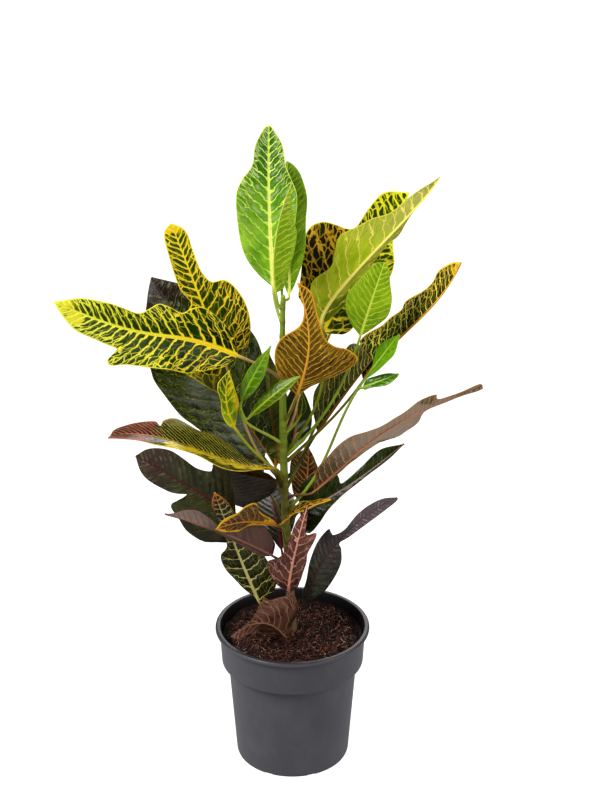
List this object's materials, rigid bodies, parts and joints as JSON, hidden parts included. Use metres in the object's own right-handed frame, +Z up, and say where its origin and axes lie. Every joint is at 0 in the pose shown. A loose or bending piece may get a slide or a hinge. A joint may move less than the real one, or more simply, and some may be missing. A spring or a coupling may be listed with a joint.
{
  "type": "potted croton plant",
  "caption": "Upright croton with lobed, gold-veined green, brown and purple leaves on one stem, in a round tapered plastic nursery pot filled with soil.",
  "frame": {"origin": "middle of the flat disc under the pot, on the surface that it stands on", "axes": "+Z up along the pot's axis, -Y towards the front of the plant, +X to its right"},
  "size_m": [0.4179, 0.2745, 0.7118],
  "materials": {
    "pot": "satin, slightly scuffed",
    "soil": "loose potting soil with coir fibre",
    "stem": "smooth green bark, tan at the foot",
    "leaf_amber": "waxy leaf",
    "leaf_brown": "waxy leaf",
    "leaf_ember": "waxy leaf",
    "leaf_gold": "waxy leaf",
    "leaf_lime": "waxy leaf",
    "leaf_mauve": "waxy leaf",
    "leaf_night": "waxy leaf",
    "leaf_olive": "waxy leaf",
    "leaf_plum": "waxy leaf",
    "leaf_rust": "waxy leaf",
    "leaf_young": "waxy leaf"
  },
  "bodies": {
    "root": {"pot": "pot", "soil": "soil", "stem": "stem", "crown_tall": "leaf_lime", "crown_back": "leaf_lime", "crown_young": "leaf_young", "left_upper": "leaf_gold", "left_long": "leaf_gold", "left_dark": "leaf_night", "left_flat": "leaf_ember", "left_purple": "leaf_plum", "left_mauve": "leaf_mauve", "left_low": "leaf_ember", "left_brown": "leaf_brown", "front_gold": "leaf_ember", "foot_mauve": "leaf_mauve", "foot_front": "leaf_rust", "centre_brown": "leaf_amber", "right_olive": "leaf_olive", "right_gold": "leaf_gold", "right_spoon": "leaf_young", "right_long": "leaf_ember", "right_deep": "leaf_night", "right_broad": "leaf_mauve", "right_dark": "leaf_night", "right_low": "leaf_plum", "rear_orange": "leaf_night", "rear_left": "leaf_night", "rear_right": "leaf_night", "young_left": "leaf_lime", "young_yellow": "leaf_gold", "shoot_upper": "leaf_lime", "curl_small": "leaf_young", "back_west": "leaf_night", "back_east": "leaf_gold", "back_crown": "leaf_lime", "back_centre": "leaf_amber", "back_foot": "leaf_plum", "back_right": "leaf_night", "back_low": "leaf_ember", "back_high": "leaf_ember"}
  },
  "joints": []
}
